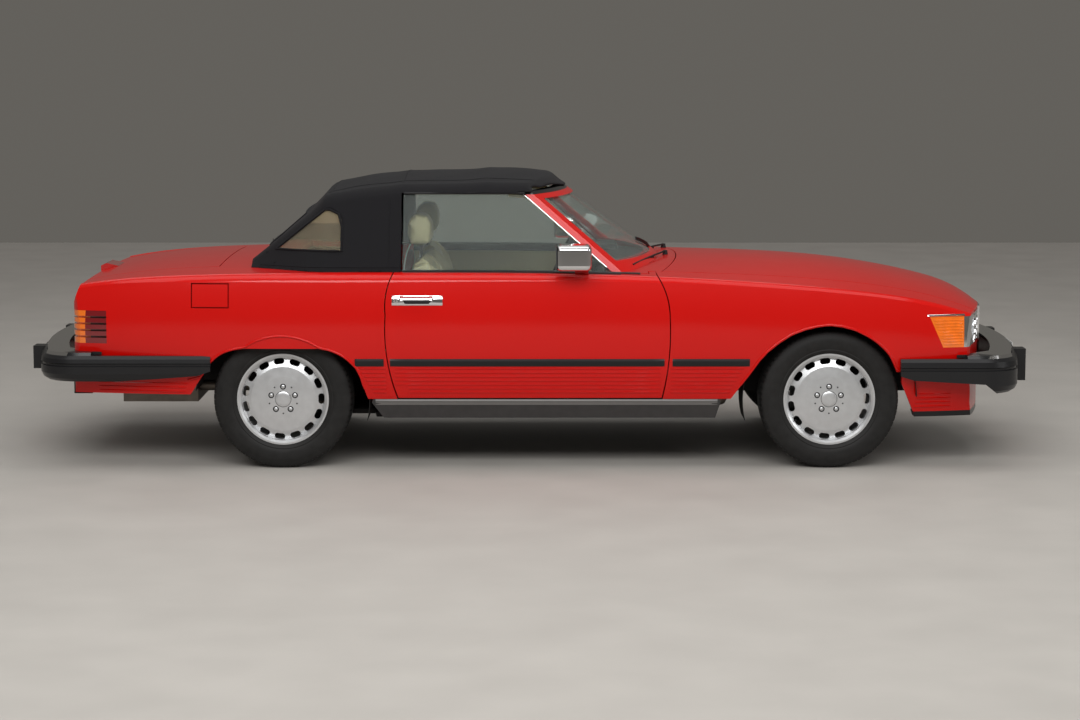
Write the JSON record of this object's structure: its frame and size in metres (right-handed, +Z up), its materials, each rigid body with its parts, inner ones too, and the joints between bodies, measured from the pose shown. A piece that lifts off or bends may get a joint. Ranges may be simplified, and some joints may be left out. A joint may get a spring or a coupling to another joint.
{
  "type": "convertible car",
  "caption": "Open two-seat car with a closed black soft top, opening doors, lids and fuel flap, rolling wheels and working steering.",
  "frame": {"origin": "on the ground under the middle of the car's box", "axes": "+X to the front of the car, +Y to its left, +Z up"},
  "size_m": [4.58, 2.01, 1.3064],
  "materials": {
    "red_paint": "gloss",
    "dark_sill": "satin",
    "chrome_trim": "polished",
    "lamp_glass": "clear",
    "clear_glass": "clear",
    "amber_lens": "gloss",
    "red_lens": "gloss",
    "bumper_rubber": "matte",
    "tyre_rubber": "matte",
    "wheel_alloy": "satin",
    "top_cloth": "woven",
    "cream_leather": "grained",
    "dark_plastic": "grained",
    "carpet": "pile",
    "underbody": "matte",
    "cast_metal": "cast",
    "chassis_steel": "matte",
    "exhaust_steel": "brushed"
  },
  "bodies": {
    "body": {"front_wings": "red_paint", "rear_wings": "red_paint", "sills": "dark_sill", "cowl": "red_paint", "nose_panel": "red_paint", "front_apron": "red_paint", "tail_panel": "red_paint", "top_cover": "red_paint", "grille": "chrome_trim", "headlamps": "lamp_glass", "side_lamps": "amber_lens", "tail_lamps": "red_lens", "front_bumper": "bumper_rubber", "rear_bumper": "bumper_rubber", "bumper_blades": "chrome_trim", "windscreen_frame": "red_paint", "windscreen_glass": "clear_glass", "soft_top": "top_cloth", "soft_top_windows": "clear_glass", "floor_pan": "underbody", "firewall": "underbody", "engine_bay": "underbody", "boot_floor": "underbody", "rear_bulkhead": "underbody", "boot_walls": "underbody", "apron_lip": "bumper_rubber", "dashboard": "dark_plastic", "seats": "cream_leather", "console": "dark_plastic", "rear_shelf": "carpet", "engine": "cast_metal", "driveline": "cast_metal", "front_suspension": "chassis_steel", "rear_axle": "chassis_steel", "exhaust": "exhaust_steel"},
    "bonnet": {"bonnet": "red_paint"},
    "boot_lid": {"boot_lid": "red_paint", "brake_lamp": "red_lens"},
    "fuel_flap": {"fuel_flap": "red_paint"},
    "steering_wheel": {"steering_wheel": "dark_plastic"},
    "door_right": {"door_right": "red_paint", "door_glass_right": "clear_glass", "mirror_right": "chrome_trim"},
    "knuckle_right": {"knuckle_right": "chassis_steel"},
    "door_left": {"door_left": "red_paint", "door_glass_left": "clear_glass", "mirror_left": "chrome_trim"},
    "knuckle_left": {"knuckle_left": "chassis_steel"},
    "wheel_front_right": {"tyre_front_right": "tyre_rubber", "rim_front_right": "wheel_alloy"},
    "wheel_front_left": {"tyre_front_left": "tyre_rubber", "rim_front_left": "wheel_alloy"},
    "wheel_rear_right": {"tyre_rear_right": "tyre_rubber", "rim_rear_right": "wheel_alloy"},
    "wheel_rear_left": {"tyre_rear_left": "tyre_rubber", "rim_rear_left": "wheel_alloy"}
  },
  "joints": [
    {"name": "steering_wheel_turn", "type": "hinge", "parent": "body", "child": "steering_wheel", "pos_m": [0.14, 0.375, 0.8], "axis": [-0.9135, 0, 0.4067], "range_deg": [-480, 480]},
    {"name": "steer_right", "type": "hinge", "parent": "body", "child": "knuckle_right", "pos_m": [1.348, -0.7, 0.313], "axis": [0, 0, 1], "range_deg": [-32, 32]},
    {"name": "steer_left", "type": "hinge", "parent": "body", "child": "knuckle_left", "pos_m": [1.348, 0.7, 0.313], "axis": [0, 0, 1], "range_deg": [-32, 32]},
    {"name": "roll_front_right", "type": "hinge", "parent": "knuckle_right", "child": "wheel_front_right", "pos_m": [1.348, -0.7305, 0.313], "axis": [0, 1, 0], "continuous": true},
    {"name": "roll_front_left", "type": "hinge", "parent": "knuckle_left", "child": "wheel_front_left", "pos_m": [1.348, 0.7305, 0.313], "axis": [0, 1, 0], "continuous": true},
    {"name": "roll_rear_right", "type": "hinge", "parent": "body", "child": "wheel_rear_right", "pos_m": [-1.107, -0.7325, 0.313], "axis": [0, 1, 0], "continuous": true},
    {"name": "roll_rear_left", "type": "hinge", "parent": "body", "child": "wheel_rear_left", "pos_m": [-1.107, 0.7325, 0.313], "axis": [0, 1, 0], "continuous": true},
    {"name": "door_right_swing", "type": "hinge", "parent": "body", "child": "door_right", "pos_m": [0.627, -0.89, 0.6], "axis": [0, 0, 1], "range_deg": [0, 68]},
    {"name": "door_left_swing", "type": "hinge", "parent": "body", "child": "door_left", "pos_m": [0.627, 0.89, 0.6], "axis": [0, 0, -1], "range_deg": [0, 68]},
    {"name": "bonnet_lift", "type": "hinge", "parent": "body", "child": "bonnet", "pos_m": [0.598, 0, 0.909], "axis": [0, -1, 0], "range_deg": [0, 88]},
    {"name": "boot_lift", "type": "hinge", "parent": "body", "child": "boot_lid", "pos_m": [-1.414, 0, 0.906], "axis": [0, 1, 0], "range_deg": [0, 75]},
    {"name": "fuel_flap_swing", "type": "hinge", "parent": "body", "child": "fuel_flap", "pos_m": [-1.341, -0.8805, 0.785], "axis": [0, 0, 1], "range_deg": [0, 95]}
  ],
  "couplings": [
    {"joint": "steer_right", "follows": "steering_wheel_turn", "ratio": 0.0666},
    {"joint": "steer_left", "follows": "steering_wheel_turn", "ratio": 0.0666}
  ]
}
